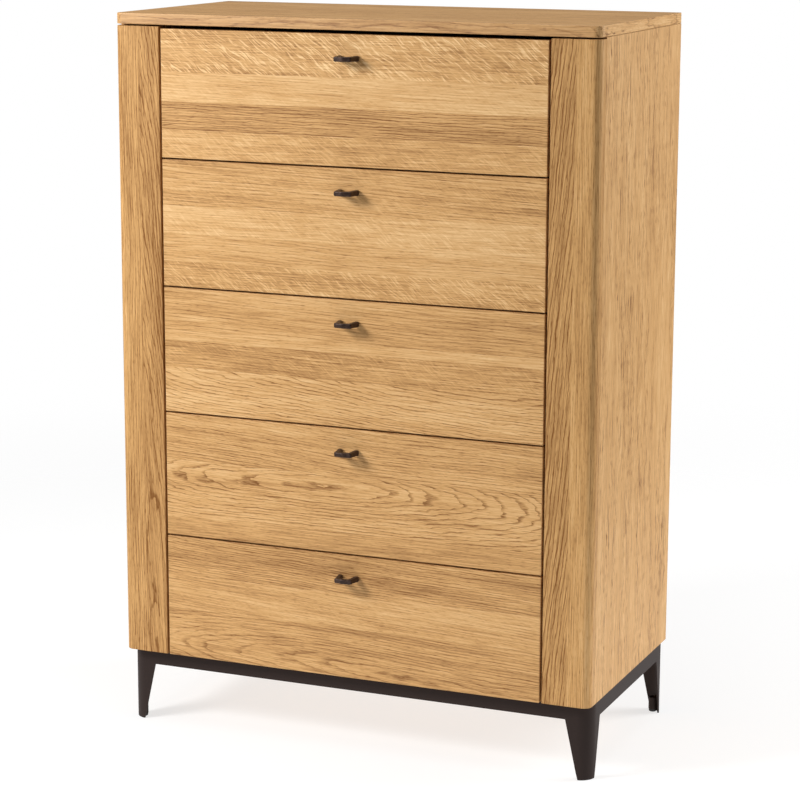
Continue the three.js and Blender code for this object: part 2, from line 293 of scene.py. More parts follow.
class Recipe:
    """A material's nodes, with short calls for the ones that the finishes need."""

    def __init__(self, name):
        self.material = bpy.data.materials.new(name)
        self.material.use_nodes = True
        self.tree = self.material.node_tree
        self.shader = self.tree.nodes["Principled BSDF"]
        place = self.tree.nodes.new("ShaderNodeTexCoord")
        in_millimetres = self.node("ShaderNodeVectorMath", operation="SCALE")
        in_millimetres.inputs["Scale"].default_value = 1 / MM
        self.link(place.outputs["Object"], in_millimetres.inputs[0])
        self.place = in_millimetres.outputs[0]
        split = self.node("ShaderNodeSeparateXYZ")
        self.link(self.place, split.inputs[0])
        self.axes = list(split.outputs)

    def node(self, kind, **settings):
        made = self.tree.nodes.new(kind)
        for key, value in settings.items():
            setattr(made, key, value)
        return made

    def link(self, source, target):
        self.tree.links.new(source, target)

    def feed(self, source, target):
        """Links a socket, or sets a number or a colour."""
        if isinstance(source, bpy.types.NodeSocket):
            self.link(source, target)
        else:
            target.default_value = source

    def math(self, operation, *values, clamp=False):
        made = self.node("ShaderNodeMath", operation=operation, use_clamp=clamp)
        for value, socket in zip(values, made.inputs):
            self.feed(value, socket)
        return made.outputs[0]

    def add(self, *values):
        total = values[0]
        for value in values[1:]:
            total = self.math("ADD", total, value)
        return total

    def times(self, *values):
        total = values[0]
        for value in values[1:]:
            total = self.math("MULTIPLY", total, value)
        return total

    def spread(self, value, low, high, to_low=0.0, to_high=1.0, smooth=False):
        """Stretches the range from low to high over another one, and clamps it."""
        made = self.node("ShaderNodeMapRange", interpolation_type="SMOOTHSTEP" if smooth else "LINEAR")
        for source, socket in zip((value, low, high, to_low, to_high), made.inputs):
            self.feed(source, socket)
        return made.outputs[0]

    def point(self, x, y, z):
        made = self.node("ShaderNodeCombineXYZ")
        for source, socket in zip((x, y, z), made.inputs):
            self.feed(source, socket)
        return made.outputs[0]

    def noise(self, vector, scale=1.0, detail=2.0, roughness=0.5):
        made = self.node("ShaderNodeTexNoise")
        self.link(vector, made.inputs["Vector"])
        made.inputs["Scale"].default_value = scale
        made.inputs["Detail"].default_value = detail
        made.inputs["Roughness"].default_value = roughness
        return made.outputs[0]

    def streaks(self, along, across, through, length, width, detail=2.0):
        """Noise drawn out along the grain: its patches are about so long and wide, in millimetres."""
        vector = self.point(
            self.times(along, 1 / length), self.times(across, 1 / width), self.times(through, 1 / width)
        )
        return self.noise(vector, 1.0, detail)

    def ramp(self, factor, stops, stepped=False):
        made = self.node("ShaderNodeValToRGB")
        made.color_ramp.interpolation = "CONSTANT" if stepped else "LINEAR"
        elements = made.color_ramp.elements
        while len(elements) < len(stops):
            elements.new(1.0)
        for element, (position, colour) in zip(elements, stops):
            element.position = position
            element.color = colour
        self.link(factor, made.inputs[0])
        return made

    def parts(self, colour):
        made = self.node("ShaderNodeSeparateColor")
        self.link(colour, made.inputs[0])
        return made.outputs[0], made.outputs[1], made.outputs[2]

    def blend(self, factor, first, second):
        made = self.node("ShaderNodeMix", data_type="RGBA")
        for source, index in ((factor, 0), (first, 6), (second, 7)):
            self.feed(source, made.inputs[index])
        return made.outputs[2]

    def relief(self, height, distance, strength=1.0):
        made = self.node("ShaderNodeBump")
        made.inputs["Distance"].default_value = distance
        made.inputs["Strength"].default_value = strength
        self.link(height, made.inputs["Height"])
        self.link(made.outputs[0], self.shader.inputs["Normal"])

    def finish(self, colour, roughness, metallic=0.0, specular=0.5):
        self.feed(colour, self.shader.inputs["Base Color"])
        self.feed(roughness, self.shader.inputs["Roughness"])
        self.shader.inputs["Metallic"].default_value = metallic
        self.shader.inputs["Specular IOR Level"].default_value = specular
        return self.material


# A stave is one of the strips that a solid board is glued up from. share: its part of the board's
# width. tone: 0 dark to 1 pale. heart: where the tree's heart ran across the board, 0 to 1 being
# the board itself. depth: how far behind the face the heart ran, in millimetres. figure: how
# strongly the rings show. rays: how many pale flecks. slope: how far the grain drops across the
# board for each millimetre along it. eye: where along the board, 0 to 1, the heart comes nearest
# to the face. swell: how much deeper it would lie a board's length away, in millimetres. ring: how
# far apart the rings are, in millimetres.
Stave = namedtuple(
    "Stave", "share tone heart depth figure rays slope eye swell ring", defaults=(0.0, 0.5, 0.0, 5.0)
)

HEART_REACH = 3.0  # the heart lies within one board's width on either side
HEART_DEPTH = 150.0
SLOPE_REACH = 0.3
SWELL_REACH = 250.0
RING_REACH = 10.0
RAY_SLANT = math.radians(36)  # down across the grain

OAK_DARK = paint(132, 86, 42)
OAK_MIDDLE = paint(213, 165, 106)
OAK_PALE = paint(248, 210, 156)


def stave_ramps(recipe, across, low, high, staves):
    """Looks up, at each place across a board, what its stave is like."""
    share = recipe.spread(across, low, high)
    first, second, third, start = [], [], [], 0.0
    for stave in staves:
        heart = (stave.heart + 1) / HEART_REACH
        shuffle = (stave.heart * 7.3 + start * 3.1) % 1
        slope = stave.slope / SLOPE_REACH / 2 + 0.5
        first.append((start, (heart, stave.depth / HEART_DEPTH, stave.tone, stave.rays)))
        second.append((start, (stave.figure, shuffle, slope, 1)))
        third.append((start, (stave.eye, stave.swell / SWELL_REACH, stave.ring / RING_REACH, 1)))
        start += stave.share
    lookup = recipe.ramp(share, first, stepped=True)
    heart, depth, tone = recipe.parts(lookup.outputs["Color"])
    figure, shuffle, slope = recipe.parts(recipe.ramp(share, second, stepped=True).outputs["Color"])
    eye, swell, ring = recipe.parts(recipe.ramp(share, third, stepped=True).outputs["Color"])
    return {
        "heart": recipe.spread(heart, 0, 1, low - (high - low), high + (high - low)),
        "depth": recipe.times(depth, HEART_DEPTH),
        "tone": tone,
        "rays": lookup.outputs["Alpha"],
        "figure": figure,
        "shuffle": shuffle,
        "slope": recipe.spread(slope, 0, 1, -SLOPE_REACH, SLOPE_REACH),
        "eye": eye,
        "swell": recipe.times(swell, SWELL_REACH),
        "ring": recipe.times(ring, RING_REACH),
    }


def oak(name, box, grain, width, staves, bend=10.0, lean=7.0, specular=0.28):
    """Solid oak glued up from staves. The grain runs along one axis and the staves lie across another."""
    recipe = Recipe(name)
    thickness = ({X, Y, Z} - {grain, width}).pop()
    low, high = (v / MM for v in box)
    stave = stave_ramps(recipe, recipe.axes[width], low[width], high[width], staves)
    place, through = recipe.axes[grain], recipe.axes[thickness]
    across = recipe.add(recipe.axes[width], recipe.times(place, stave["slope"]))
    along = recipe.add(place, recipe.times(stave["shuffle"], 5000.0))

    # The rings: how far each place is from the tree's heart, which wanders along the board.
    wander = recipe.streaks(along, across, through, 420, 260, 1)
    sink = recipe.streaks(recipe.add(along, 900), across, through, 330, 260, 1)
    ripple = recipe.streaks(along, across, through, 46, 13, 3)
    ripple = recipe.times(recipe.spread(ripple, 0.2, 0.8, -2.4, 2.4), stave["figure"])
    from_eye = recipe.add(recipe.spread(place, low[grain], high[grain]), recipe.times(stave["eye"], -1.0))
    swell = recipe.times(from_eye, from_eye, stave["swell"])
    sideways = recipe.add(
        across, recipe.times(stave["heart"], -1.0), recipe.spread(wander, 0.2, 0.8, -bend, bend)
    )
    inwards = recipe.add(
        through, -low[thickness], stave["depth"], recipe.spread(sink, 0.2, 0.8, -lean, lean), swell
    )
    distance = recipe.math(
        "SQRT", recipe.add(recipe.times(sideways, sideways), recipe.times(inwards, inwards))
    )
    distance = recipe.add(distance, ripple)
    growth = recipe.noise(recipe.point(recipe.times(distance, 1 / 14), 0, 0), 1.0, 2)
    rings = recipe.add(recipe.math("DIVIDE", distance, stave["ring"]), recipe.times(growth, 1.6))
    early = recipe.ramp(
        recipe.math("FRACT", rings),
        [(0.0, (0, 0, 0, 1)), (0.04, (1, 1, 1, 1)), (0.16, (0.7, 0.7, 0.7, 1)), (0.34, (0, 0, 0, 1))],
    ).outputs[0]
    broken = recipe.spread(recipe.streaks(along, across, through, 60, 8.0, 2), 0.34, 0.56, 0.45, 1.0)
    early = recipe.times(early, stave["figure"], broken)

    # Fibre streaks, pores and the slow drift of colour along a stave.
    drift = recipe.streaks(along, across, through, 340, 24, 1)
    fibre = recipe.streaks(along, across, through, 64, 1.9, 2)
    pore = recipe.spread(recipe.streaks(along, across, through, 13, 1.6, 1), 0.54, 0.66)
    deep_pore = recipe.times(pore, recipe.spread(early, 0, 1, 0.5, 1.0))

    # Pale ray flecks, all slanted the same way across the grain.
    cosine, sine = math.cos(RAY_SLANT), math.sin(RAY_SLANT)
    fleck_along = recipe.add(recipe.times(place, cosine), recipe.times(recipe.axes[width], -sine))
    fleck_across = recipe.add(recipe.times(place, sine), recipe.times(recipe.axes[width], cosine))
    waver = recipe.spread(recipe.noise(recipe.place, 1 / 30, 1), 0.3, 0.7, -2.0, 2.0)
    fleck_across = recipe.add(fleck_across, waver)
    fleck = recipe.streaks(fleck_along, fleck_across, through, 26, 2.4, 1)
    shade = recipe.streaks(recipe.add(fleck_along, 300), fleck_across, through, 20, 2.6, 1)
    patch = recipe.spread(recipe.streaks(along, across, through, 150, 40, 1), 0.3, 0.5, 0.35, 1.0)
    flecked = recipe.times(patch, stave["rays"])
    rays = recipe.times(recipe.spread(fleck, 0.54, 0.64), flecked)
    between = recipe.times(recipe.spread(shade, 0.5, 0.64), flecked)

    tone = recipe.add(
        stave["tone"],
        recipe.spread(drift, 0.25, 0.75, -0.11, 0.11),
        recipe.spread(fibre, 0.28, 0.72, -0.19, 0.19),
        recipe.times(early, -0.42),
        recipe.times(deep_pore, -0.26),
        recipe.times(rays, 0.42),
        recipe.times(between, -0.14),
    )
    colour = recipe.ramp(tone, [(0.0, OAK_DARK), (0.5, OAK_MIDDLE), (1.0, OAK_PALE)]).outputs[0]

    # Handling darkens the outer couple of millimetres and polishes them.
    rim = edge_rim(recipe, box, (grain, width), 2.5)
    colour = recipe.blend(recipe.times(rim, 0.16), colour, paint(150, 100, 54))
    rough = recipe.add(
        recipe.spread(fibre, 0.3, 0.7, 0.44, 0.54), recipe.times(deep_pore, 0.2), recipe.times(rim, -0.06)
    )
    relief = recipe.add(recipe.times(deep_pore, -1.0), recipe.times(early, -0.5), recipe.times(rays, 0.3))
    recipe.relief(relief, 0.14 * MM, 0.6)
    return recipe.finish(colour, rough, specular=specular)


def edge_rim(recipe, box, axes, width):
    """1 on a board's edges, falling to 0 within the width, along the given axes."""
    low, high = (v / MM for v in box)
    nearest = None
    for axis in axes:
        place = recipe.axes[axis]
        inset = recipe.math(
            "MINIMUM", recipe.add(place, -low[axis]), recipe.add(recipe.times(place, -1.0), high[axis])
        )
        nearest = inset if nearest is None else recipe.math("MINIMUM", nearest, inset)
    return recipe.spread(nearest, 0, width, 1, 0)


def veneer(name, box, grain, width, leaf=150.0, tone=0.52):
    """Straight-grained oak veneer, laid in leaves."""
    recipe = Recipe(name)
    thickness = ({X, Y, Z} - {grain, width}).pop()
    across, through = recipe.axes[width], recipe.axes[thickness]
    number = recipe.math("FLOOR", recipe.times(across, 1 / leaf))
    along = recipe.add(recipe.axes[grain], recipe.times(number, 37.0))
    sway = recipe.spread(recipe.streaks(along, across, through, 150, 40, 1), 0.3, 0.7, -7, 7)
    across = recipe.add(across, sway)
    busy = recipe.spread(recipe.streaks(along, across, through, 280, 24, 1), 0.36, 0.6, 0.3, 1.3)
    shade = recipe.noise(recipe.point(recipe.times(number, 3.7), 0, 0), 1.0, 0)
    drift = recipe.streaks(along, across, through, 420, 30, 2)
    fibre = recipe.streaks(along, across, through, 50, 2.6, 2)
    line = recipe.spread(recipe.streaks(along, across, through, 90, 4.6, 2), 0.55, 0.64)
    pore = recipe.spread(recipe.streaks(along, across, through, 18, 1.8, 1), 0.55, 0.66)
    value = recipe.add(
        recipe.spread(shade, 0.2, 0.8, tone - 0.05, tone + 0.05),
        recipe.spread(drift, 0.25, 0.75, -0.1, 0.1),
        recipe.spread(fibre, 0.28, 0.72, -0.17, 0.17),
        recipe.times(line, busy, -0.24),
        recipe.times(pore, busy, -0.27),
    )
    colour = recipe.ramp(value, [(0.0, OAK_DARK), (0.5, OAK_MIDDLE), (1.0, OAK_PALE)]).outputs[0]
    rim = edge_rim(recipe, box, (grain, width), 1.5)
    colour = recipe.blend(recipe.times(rim, 0.12), colour, paint(150, 100, 54))
    rough = recipe.add(recipe.spread(fibre, 0.3, 0.7, 0.46, 0.56), recipe.times(pore, 0.15))
    recipe.relief(recipe.times(pore, -1.0), 0.08 * MM, 0.5)
    return recipe.finish(colour, rough, specular=0.28)


def plywood(name, grain, thickness, ply=1.33):
    """Birch plywood: pale faces, and layers that show on every edge."""
    recipe = Recipe(name)
    width = ({X, Y, Z} - {grain, thickness}).pop()
    along, across, through = (recipe.axes[axis] for axis in (grain, width, thickness))
    layer = recipe.math("PINGPONG", recipe.times(through, 1 / ply), 1.0)
    seam = recipe.spread(layer, 0.35, 0.65, smooth=True)
    fibre = recipe.streaks(along, across, through, 120, 3.5, 3)
    cloud = recipe.streaks(along, across, through, 200, 60, 2)
    pore = recipe.spread(recipe.streaks(along, across, through, 9, 0.6, 1), 0.6, 0.8)
    pale = recipe.blend(recipe.spread(fibre, 0.3, 0.7), paint(222, 192, 150), paint(238, 214, 178))
    pale = recipe.blend(recipe.spread(cloud, 0.35, 0.7, 0, 0.5), pale, paint(229, 196, 148))
    colour = recipe.blend(recipe.times(seam, 0.35), pale, paint(186, 146, 98))
    colour = recipe.blend(recipe.times(pore, 0.4), colour, paint(178, 138, 92))
    recipe.relief(recipe.add(fibre, recipe.times(seam, -0.6)), 0.05 * MM, 0.4)
    return recipe.finish(colour, recipe.spread(fibre, 0.3, 0.7, 0.5, 0.62), specular=0.3)


def back_board():
    """Thin board with a plain printed oak finish, matt, slightly scuffed."""
    recipe = Recipe("thin_back_board")
    x, y, z = recipe.axes
    fibre = recipe.streaks(z, x, y, 150, 3.0, 3)
    cloud = recipe.noise(recipe.place, 1 / 160, 3)
    scuff = recipe.spread(recipe.streaks(x, z, y, 60, 5.0, 3), 0.62, 0.8)
    grain = recipe.spread(fibre, 0.25, 0.75, 0.3, 0.56)
    value = recipe.add(grain, recipe.spread(cloud, 0.3, 0.7, -0.06, 0.06))
    colour = recipe.ramp(value, [(0.0, paint(150, 112, 70)), (1.0, paint(220, 182, 132))]).outputs[0]
    colour = recipe.blend(recipe.times(scuff, 0.15), colour, paint(228, 202, 164))
    recipe.relief(fibre, 0.05 * MM, 0.3)
    return recipe.finish(colour, recipe.spread(scuff, 0, 1, 0.62, 0.74), specular=0.25)


def powder_coat():
    """Brown-black powder coat with a fine texture."""
    recipe = Recipe("brown_black_powder_coat")
    peel = recipe.noise(recipe.place, 1 / 1.1, 2)
    speck = recipe.noise(recipe.place, 1 / 0.45, 1)
    cloud = recipe.noise(recipe.place, 1 / 90, 2)
    colour = recipe.blend(recipe.spread(speck, 0.35, 0.7), paint(42, 32, 29), paint(56, 43, 39))
    colour = recipe.blend(recipe.spread(cloud, 0.35, 0.65, 0, 0.4), colour, paint(47, 36, 33))
    scratch = recipe.spread(recipe.streaks(*recipe.axes, 30, 1.2, 2), 0.7, 0.82)
    colour = recipe.blend(recipe.times(scratch, 0.25), colour, paint(96, 84, 78))
    recipe.relief(recipe.add(peel, recipe.times(speck, 0.4)), 0.06 * MM, 0.45)
    return recipe.finish(colour, recipe.spread(peel, 0.3, 0.7, 0.48, 0.6), specular=0.18)


def bronzed_casting():
    """Dark bronzed die casting, satin, with fine paler flecks scattered over it."""
    recipe = Recipe("dark_bronzed_casting")
    cloud = recipe.noise(recipe.place, 1 / 7, 3)
    grain = recipe.noise(recipe.place, 1 / 0.5, 2)
    colour = recipe.blend(recipe.spread(cloud, 0.35, 0.65), paint(52, 38, 33), paint(76, 57, 48))
    colour = recipe.blend(recipe.spread(grain, 0.6, 0.8, 0, 0.3), colour, paint(104, 84, 72))
    recipe.relief(grain, 0.04 * MM, 0.35)
    return recipe.finish(colour, recipe.spread(cloud, 0.3, 0.7, 0.38, 0.5), metallic=0.6)


def zinc_plate(name="bright_zinc_plate", tint=(186, 190, 194)):
    """Bright zinc plating with a faint rolled grain and cloudy passivation."""
    recipe = Recipe(name)
    x, y, z = recipe.axes
    rolled = recipe.streaks(y, x, z, 60, 0.5, 2)
    cloud = recipe.noise(recipe.place, 1 / 25, 2)
    bright = paint(*tint)
    dull = paint(*(v * 0.92 for v in tint))
    colour = recipe.blend(recipe.spread(cloud, 0.35, 0.65), dull, bright)
    rough = recipe.add(recipe.spread(rolled, 0.3, 0.7, 0.26, 0.36), recipe.spread(cloud, 0.3, 0.7, 0, 0.05))
    recipe.relief(rolled, 0.02 * MM, 0.2)
    return recipe.finish(colour, rough, metallic=0.9)


def black_nylon():
    recipe = Recipe("black_nylon")
    grain = recipe.noise(recipe.place, 1 / 0.6, 2)
    scuff = recipe.spread(recipe.noise(recipe.place, 1 / 3, 3), 0.55, 0.75)
    colour = recipe.blend(recipe.times(scuff, 0.5), paint(22, 21, 21), paint(52, 50, 48))
    recipe.relief(grain, 0.05 * MM, 0.4)
    return recipe.finish(colour, recipe.spread(scuff, 0, 1, 0.5, 0.68))


# ---------------------------------------------------------------------------
# Timber of each board
# ---------------------------------------------------------------------------

# From the lower edge of each front to its upper edge.
FRONT_STAVES = {
    1: (
        Stave(0.22, 0.53, -0.9, 120, 0.3, 0.35),
        Stave(0.22, 0.43, -0.8, 30, 1.0, 0.0, 0.02, ring=4.4),
        Stave(0.23, 0.66, -0.6, 60, 0.3, 0.15, 0.02),
        Stave(0.33, 0.50, 1.9, 40, 0.2, 1.0),
    ),
    2: (
        Stave(0.20, 0.48, 1.8, 60, 0.25, 0.6),
        Stave(0.22, 0.56, -0.8, 60, 0.5, 0.1, 0.02),
        Stave(0.22, 0.66, 1.5, 80, 0.3, 0.35),
        Stave(0.36, 0.50, -0.9, 60, 0.6, 0.2, 0.03, ring=6.0),
    ),
    3: (
        Stave(0.36, 0.60, 0.46, 26, 1.0, 0.0, 0.03, 0.90, 60, 4.6),
        Stave(0.22, 0.45, -0.9, 60, 0.5, 0.25, 0.02),
        Stave(0.08, 0.62, 1.8, 60, 0.3, 0.0),
        Stave(0.34, 0.50, -0.8, 60, 0.6, 0.0, 0.03, ring=6.0),
    ),
    4: (
        Stave(0.17, 0.43, -0.9, 60, 0.3, 0.0),
        Stave(0.45, 0.55, 0.50, 26, 1.0, 0.0, 0.02, 0.40, 130, 5.0),
        Stave(0.38, 0.50, -0.7, 40, 0.8, 0.1, 0.05),
    ),
    5: (
        Stave(0.40, 0.45, 0.08, 16, 0.7, 0.0, 0.04, 0.75, 50, 5.0),
        Stave(0.28, 0.53, -0.9, 60, 0.4, 0.1, 0.05),
        Stave(0.32, 0.42, -0.5, 40, 0.9, 0.0, 0.03, 0.18, 60, 4.4),
    ),
}

# From the left edge to the right edge.
POST_STAVES = {
    "left": (
        Stave(0.54, 0.42, -0.9, 30, 0.6, 0.0),
        Stave(0.46, 0.34, 0.92, 26, 0.8, 0.0, 0.06, 0.0, 60, 4.6),
    ),
    "right": (
        # Partly painted light: these staves are on the whole paler than the left post's, making up for the
        # key light from the left reaching this post less.
        Stave(0.5, 0.38, 1.9, 30, 1.0, 0.0, -0.1, ring=7.0),
        Stave(0.5, 0.48, -1.0, 20, 0.4, 0.0, ring=4.0),
    ),
}

# From the front to the back.
TOP_STAVES = (
    Stave(0.17, 0.50, -0.5, 60, 0.7, 0.0),
    Stave(0.15, 0.46, 0.9, 90, 0.5, 0.0),
    Stave(0.18, 0.50, 0.2, 60, 0.8, 0.0),
    Stave(0.16, 0.46, -0.6, 110, 0.6, 0.1),
    Stave(0.17, 0.50, 1.6, 70, 0.5, 0.0),
    Stave(0.17, 0.47, 0.7, 50, 0.7, 0.0),
)

# The lipping on the ends of the top, from its lower edge to its upper edge.
LIPPING_STAVES = (Stave(1.0, 0.52, -0.9, 5, 0.9, 0.0, 0.02, ring=3.6),)


# ---------------------------------------------------------------------------
# Case
# ---------------------------------------------------------------------------


def make_top():
    low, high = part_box("top_board")
    top = block("top_board_oak", low, high)
    round_edges(top, lambda a, b: upright(a, b) and is_near(a.y, low.y), CORNER_RADIUS, CORNER_SEGMENTS)
    ease(top, ARRIS)
    oak_top = oak("oak_top", (low, high), X, Y, TOP_STAVES, specular=0.6)
    fit_out(top, oak_top, "chest", "solid_oak", "top_board")
    top.data.materials.append(oak("oak_top_lipping", (low, high), Y, Z, LIPPING_STAVES))
    choose_faces(top, lambda middle, normal: abs(normal.x) > 0.7)
    top.active_material_index = 1
    bpy.ops.object.material_slot_assign()
    bpy.ops.object.mode_set(mode="OBJECT")


def make_post(side, sign):
    node = f"{side}_front_post"
    low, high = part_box(node)
    post = block(f"{node}_oak", low, high)
    outer = high.x if sign > 0 else low.x

    def at_corner(a, b):
        return upright(a, b) and is_near(a.y, low.y) and is_near(a.x, outer)

    round_edges(post, at_corner, CORNER_RADIUS, CORNER_SEGMENTS)
    ease(post, ARRIS * 0.6)
    material = oak(f"oak_{side}_post", (low, high), Z, X, POST_STAVES[side], lean=12, specular=0.15)
    fit_out(post, material, "chest", "solid_oak", node)


def make_case_boards():
    for side in SIDES:
        for board in ("side_panel", "inner_side"):
            node = f"{side}_{board}"
            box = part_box(node)
            piece = fine_copy(node, f"{node}_veneered", VENEER_ARRIS)
            fit_out(piece, veneer(f"oak_veneer_{node}", box, Z, Y), "chest", "oak_veneer", node)
    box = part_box("case_floor")
    floor = fine_copy("case_floor", "case_floor_veneered", VENEER_ARRIS)
    fit_out(floor, veneer("oak_veneer_case_floor", box, X, Y), "chest", "oak_veneer", "case_floor")


def screw_head(name, seat, axis, sign, radius=SCREW_HEAD, height=SCREW_HEAD_HEIGHT):
    """A domed head with a recess that stands on its seat and faces along one axis."""
    facing = Vector([sign if i == axis else 0 for i in (X, Y, Z)])
    head = rod(name, seat + facing * height / 2, radius, height, axis, sides=16)
    front = seat[axis] + sign * height
    round_edges(
        head, lambda a, b: is_near(a[axis], front) and is_near(b[axis], front), height * 0.55, 2
    )
    choose_faces(head, lambda middle, normal: normal.dot(facing) > 0.99)
    bpy.ops.mesh.inset(thickness=radius * 0.42, depth=0)
    bpy.ops.mesh.inset(thickness=radius * 0.05, depth=-height * 0.5)
    bpy.ops.object.mode_set(mode="OBJECT")
    smooth_by_angle(head)
    return head


def screw_set(name, seats, axis, sign, radius=SCREW_HEAD, height=SCREW_HEAD_HEIGHT):
    """One head is shaped, copied to every seat and joined up."""
    first = screw_head(name, seats[0], axis, sign, radius, height)
    copies = [twin(first, f"{name}_{i}", seat - seats[0]) for i, seat in enumerate(seats[1:], 2)]
    return join_pieces(name, [first] + copies)


def evenly(low, high, count):
    return [low + (high - low) * i / (count - 1) for i in range(count)]


def back_screw_places():
    """Into the rear edges of the inner sides and of the case floor."""
    low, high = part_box("back_panel")
    places = []
    for side in SIDES:
        board_low, board_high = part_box(f"{side}_inner_side")
        x = (board_low.x + board_high.x) / 2
        heights = evenly(low.z + BACK_SCREW_ABOVE_FOOT, high.z - BACK_SCREW_BELOW_HEAD, BACK_SCREWS_UP)
        places += [Vector((x, high.y, z)) for z in heights]
    floor_low, floor_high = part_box("case_floor")
    reach = floor_high.x - BACK_SCREW_FROM_SIDE
    z = (floor_low.z + floor_high.z) / 2
    places += [Vector((x, high.y, z)) for x in evenly(-reach, reach, BACK_SCREWS_ACROSS)]
    return places


def make_back():
    back = fine_copy("back_panel", "back_panel_board", VENEER_ARRIS)
    places = back_screw_places()
    sinks = [
        rod(f"sink_{i}", place, SCREW_HEAD * 1.15, 2 * BACK_SCREW_SINK, Y, sides=20)
        for i, place in enumerate(places)
    ]
    drill = join_pieces("sinks", sinks)
    cut = back.modifiers.new("sinks", "BOOLEAN")
    cut.operation = "DIFFERENCE"
    cut.object = drill
    apply_modifier(back, cut)
    bpy.data.objects.remove(drill)
    fit_out(back, back_board(), "chest", "back_board", "back_panel")
    seats = [place - Vector((0, BACK_SCREW_SINK, 0)) for place in places]
    screws = screw_set("back_panel_screws", seats, Y, 1)
    fit_out(screws, zinc_plate("zinc_plated_screw"), "chest", "zinc_steel")


# ---------------------------------------------------------------------------
# Base
# ---------------------------------------------------------------------------


def leg_width(height, apron_bottom):
    return LEG_FOOT_WIDTH + (LEG_TOP_WIDTH - LEG_FOOT_WIDTH) * height / apron_bottom


def make_base():
    low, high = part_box("base_frame")
    apron_bottom = high.z - APRON_HEIGHT
    base = block("base_frame_steel", low, high)
    round_edges(base, upright, BASE_CORNER, BASE_CORNER_SEGMENTS)
    choose_faces(base, lambda middle, normal: normal.z < -0.9)
    bpy.ops.mesh.delete(type="FACE")
    choose_faces(base, lambda middle, normal: normal.z > 0.9)
    bpy.ops.mesh.inset(thickness=BASE_FLANGE, depth=0)
    bpy.ops.mesh.delete(type="FACE")
    slice_mesh(base, (0, 0, apron_bottom), UP)
    spread = LEG_TOP_WIDTH - LEG_FOOT_WIDTH
    for axis in (X, Y):
        for edge, inwards in ((low[axis], 1), (high[axis], -1)):
            point, normal = Vector(), Vector()
            point[axis] = edge + inwards * LEG_FOOT_WIDTH
            normal[axis] = apron_bottom
            normal.z = -inwards * spread
            slice_mesh(base, point, normal)

    def open_between_legs(middle, normal):
        if middle.z > apron_bottom:
            return False
        width = leg_width(middle.z, apron_bottom)
        return any(low[axis] + width < middle[axis] < high[axis] - width for axis in (X, Y))

    choose_faces(base, open_between_legs)
    bpy.ops.mesh.delete(type="FACE")
    bpy.ops.object.mode_set(mode="OBJECT")
    wall = base.modifiers.new("sheet", "SOLIDIFY")
    wall.thickness = BASE_SHEET
    wall.offset = -1
    wall.use_even_offset = True
    apply_modifier(base, wall)
    ease(base, BASE_ARRIS, 2, 50)
    fit_out(base, powder_coat(), "chest", "coated_steel", "base_frame")


def make_frame_screws():
    """From below, through the frame's flange and into the case floor."""
    low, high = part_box("base_frame")
    flange = high.z - BASE_SHEET
    middle = BASE_SHEET + (BASE_FLANGE - BASE_SHEET) / 2
    seats = [
        Vector((x, y, flange))
        for y in (low.y + middle, high.y - middle)
        for x in (-FRAME_SCREW_SPACING, 0, FRAME_SCREW_SPACING)
    ]
    seats += [Vector((x, (low.y + high.y) / 2, flange)) for x in (low.x + middle, high.x - middle)]
    screws = screw_set("base_frame_screws", seats, Z, -1, BOLT_HEAD, BOLT_HEAD_HEIGHT)
    fit_out(screws, zinc_plate("zinc_plated_frame_screw"), "chest", "zinc_steel")


def foot_places():
    low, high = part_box("base_frame")
    inset = BASE_CORNER - (BASE_CORNER - BASE_SHEET - BUSH_RADIUS + MM) * math.sqrt(0.5)
    return [
        (f"{end}_{side}", Vector((x, y, 0)))
        for end, y in (("front", low.y + inset), ("back", high.y - inset))
        for side, x in (("left", low.x + inset), ("right", high.x - inset))
    ]


def make_feet():
    coat, nylon = powder_coat(), black_nylon()
    for name, place in foot_places():
        middle = (GLIDE_HEIGHT + BUSH_HEIGHT) / 2
        bush = rod(f"foot_bush_{name}", place + UP * middle, BUSH_RADIUS, BUSH_HEIGHT - GLIDE_HEIGHT)
        choose_faces(bush, lambda middle, normal: normal.z > 0.9)
        bpy.ops.mesh.inset(thickness=BUSH_RADIUS * 0.35, depth=0)
        bpy.ops.mesh.inset(thickness=BUSH_RADIUS * 0.05, depth=-BUSH_RECESS)
        bpy.ops.object.mode_set(mode="OBJECT")
        ease(bush, BUSH_ROUNDING * 0.5, 2)
        fit_out(bush, coat, "chest", "coated_steel")
        glide = rod(f"foot_glide_{name}", place + UP * GLIDE_HEIGHT / 2, GLIDE_RADIUS, GLIDE_HEIGHT)
        round_edges(glide, lambda a, b: is_near(a.z, 0) and is_near(b.z, 0), GLIDE_ROUNDING, 4)
        smooth_by_angle(glide)
        fit_out(glide, nylon, "chest")


# ---------------------------------------------------------------------------
# Drawers
# ---------------------------------------------------------------------------


def front_offset(number):
    """How far a drawer is below the top one."""
    return Vector((0, 0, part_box(f"drawer_{number}_front")[0].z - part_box("drawer_1_front")[0].z))


def shape_front():
    low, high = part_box("drawer_1_front")
    groove_low, groove_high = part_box("drawer_1_floor")
    front = block("drawer_1_front_oak", low, high)
    edges = (
        (X, groove_low.x - GROOVE_SLACK),
        (X, groove_high.x + GROOVE_SLACK),
        (Z, groove_low.z - GROOVE_SLACK),
        (Z, groove_high.z + GROOVE_SLACK),
    )
    for axis, place in edges:
        point = [place if i == axis else 0 for i in (X, Y, Z)]
        normal = [float(i == axis) for i in (X, Y, Z)]
        slice_mesh(front, point, normal)
    choose_faces(
        front,
        lambda middle, normal: normal.y > 0.9
        and groove_low.x < middle.x < groove_high.x
        and groove_low.z < middle.z < groove_high.z,
    )
    bpy.ops.mesh.extrude_region_move(TRANSFORM_OT_translate={"value": (0, -GROOVE_DEPTH, 0)})
    bpy.ops.object.mode_set(mode="OBJECT")
    ease(front, ARRIS)
    return front


